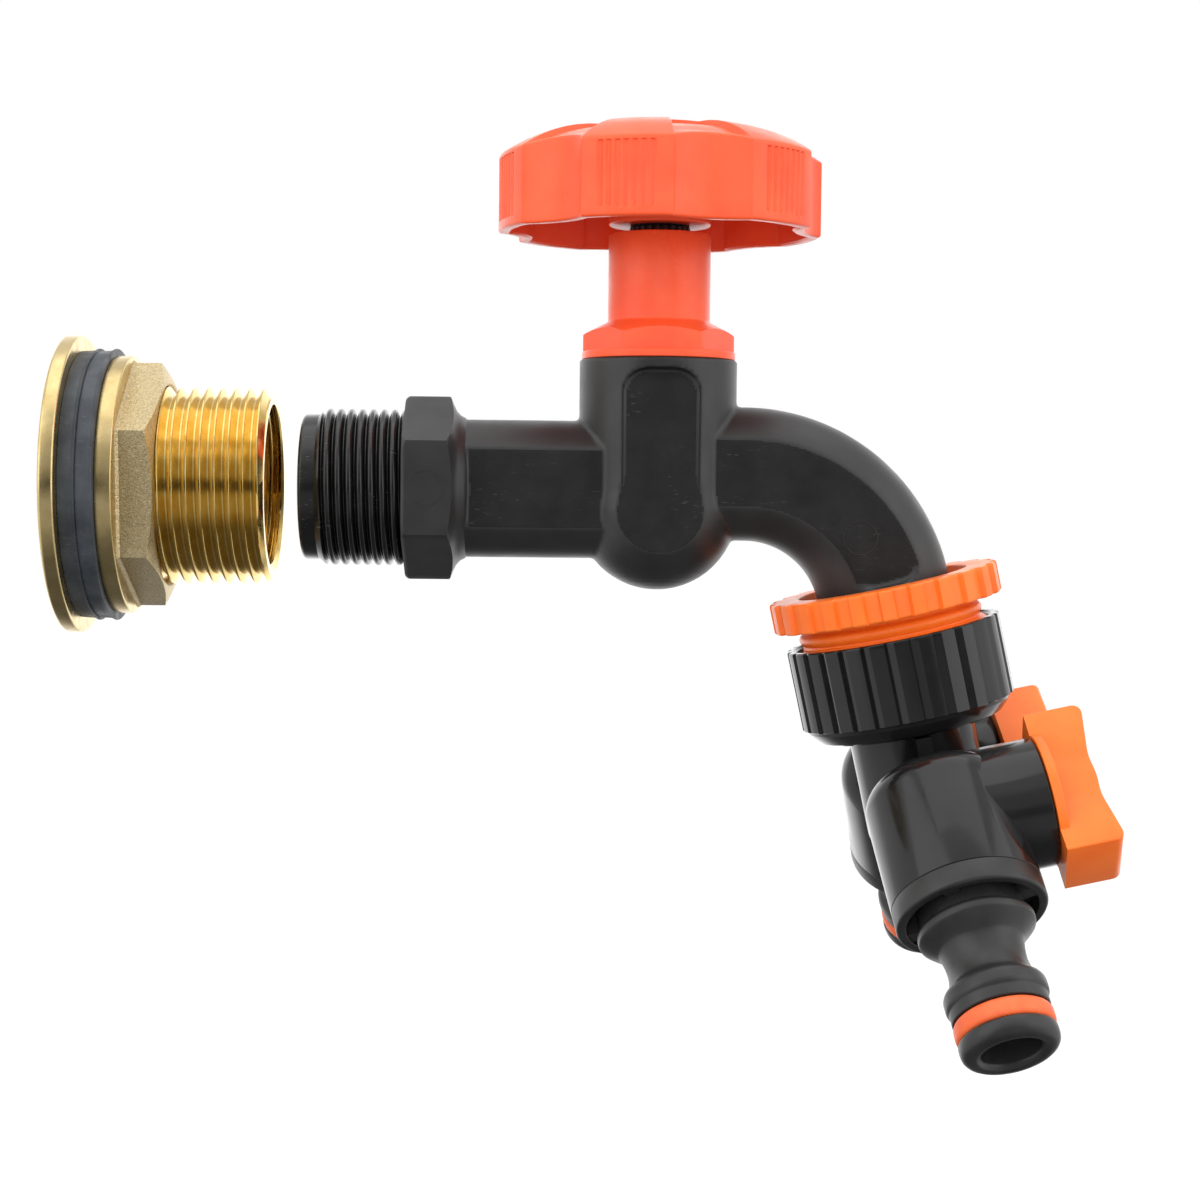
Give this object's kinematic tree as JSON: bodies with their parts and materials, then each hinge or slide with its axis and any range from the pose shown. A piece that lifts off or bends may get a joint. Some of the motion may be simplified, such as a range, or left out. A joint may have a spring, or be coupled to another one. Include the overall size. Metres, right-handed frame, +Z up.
{
  "type": "water butt tap",
  "caption": "Plastic bib tap with a handwheel, a brass tank connector, a threaded hose adapter and a two-way splitter whose legs have lever ball valves and click hose nipples.",
  "frame": {"origin": "centre of the tank connector's sealing face, on the axis of the inlet", "axes": "+X along the inlet from the tank to the tap, +Z up, the legs of the splitter lie to -Y and +Y"},
  "size_m": [0.1754, 0.107, 0.1501],
  "materials": {
    "brass": "turned, with sanded flats on the nut",
    "rubber_grey": "matt slate grey",
    "black_satin": "satin black with grained flats",
    "black_gloss": "smooth black",
    "orange_wheel": "red-orange, smooth",
    "orange_light": "orange, smooth",
    "rubber_orange": "orange rubber",
    "white_plastic": "white",
    "steel": "plain"
  },
  "bodies": {
    "connector": {"tank_connector": "brass", "inner_washer": "rubber_grey"},
    "outer_washer": {"outer_washer": "rubber_grey"},
    "backnut": {"backnut": "brass"},
    "tap": {"tap_body": "black_satin", "bonnet": "orange_wheel", "bonnet_seal": "rubber_grey", "thread_adapter": "orange_light", "adapter_washer": "rubber_grey"},
    "jumper": {"jumper": "black_satin", "tap_washer": "rubber_grey", "washer_screw": "steel"},
    "handwheel": {"handwheel": "orange_wheel", "handwheel_screw": "steel", "spindle": "black_satin", "spindle_oring": "rubber_grey"},
    "union_seal": {"union_washer": "rubber_grey"},
    "union_nut": {"union_nut": "black_gloss"},
    "splitter": {"splitter_body": "black_gloss", "hose_nipple_front": "black_gloss", "hose_nipple_back": "black_gloss", "nipple_oring_front": "rubber_orange", "nipple_oring_back": "rubber_orange", "upper_seat_front": "white_plastic", "upper_seat_back": "white_plastic", "lower_seat_front": "white_plastic", "lower_seat_back": "white_plastic"},
    "lever_front": {"valve_lever_front": "orange_light", "valve_stem_front": "black_satin", "stem_oring_front": "rubber_grey", "valve_ball_front": "black_satin"},
    "lever_back": {"valve_lever_back": "orange_light", "valve_stem_back": "black_satin", "stem_oring_back": "rubber_grey", "valve_ball_back": "black_satin"}
  },
  "joints": [
    {"name": "tap_slide", "type": "slide", "parent": "connector", "child": "tap", "axis": [1, 0, 0], "range_m": [-0.0219, 0]},
    {"name": "outer_washer_slide", "type": "slide", "parent": "connector", "child": "outer_washer", "axis": [1, 0, 0], "range_m": [0, 0.01387]},
    {"name": "backnut_turn", "type": "hinge", "parent": "outer_washer", "child": "backnut", "pos_m": [-0.005, 0, 0], "axis": [1, 0, 0], "range_deg": [0, 2160]},
    {"name": "jumper_rise", "type": "slide", "parent": "tap", "child": "jumper", "axis": [0, 0, 1], "range_m": [0, 0.00501]},
    {"name": "handwheel_turn", "type": "hinge", "parent": "jumper", "child": "handwheel", "pos_m": [0.0967, 0, 0.042], "axis": [0, 0, 1], "range_deg": [0, 900]},
    {"name": "union_slide", "type": "slide", "parent": "tap", "child": "union_seal", "axis": [0.2164, 0, -0.9763], "range_m": [0, 0.00924]},
    {"name": "union_nut_turn", "type": "hinge", "parent": "union_seal", "child": "union_nut", "pos_m": [0.13723, 0, -0.02367], "axis": [0.2164, 0, -0.9763], "range_deg": [0, 1440]},
    {"name": "splitter_swivel", "type": "hinge", "parent": "union_seal", "child": "splitter", "pos_m": [0.14378, 0, -0.05318], "axis": [0.2164, 0, -0.9763], "continuous": true},
    {"name": "valve_front", "type": "hinge", "parent": "splitter", "child": "lever_front", "pos_m": [0.14303, -0.02089, -0.05335], "axis": [0.9756, -0.0366, 0.2163], "range_deg": [0, 90]},
    {"name": "valve_back", "type": "hinge", "parent": "splitter", "child": "lever_back", "pos_m": [0.14452, 0.02089, -0.05302], "axis": [-0.9756, 0.0366, -0.2163], "range_deg": [0, 90]}
  ],
  "couplings": [
    {"joint": "outer_washer_slide", "follows": "backnut_turn", "m_per_rad": 0.0003675},
    {"joint": "jumper_rise", "follows": "handwheel_turn", "m_per_rad": 0.00031831}
  ]
}
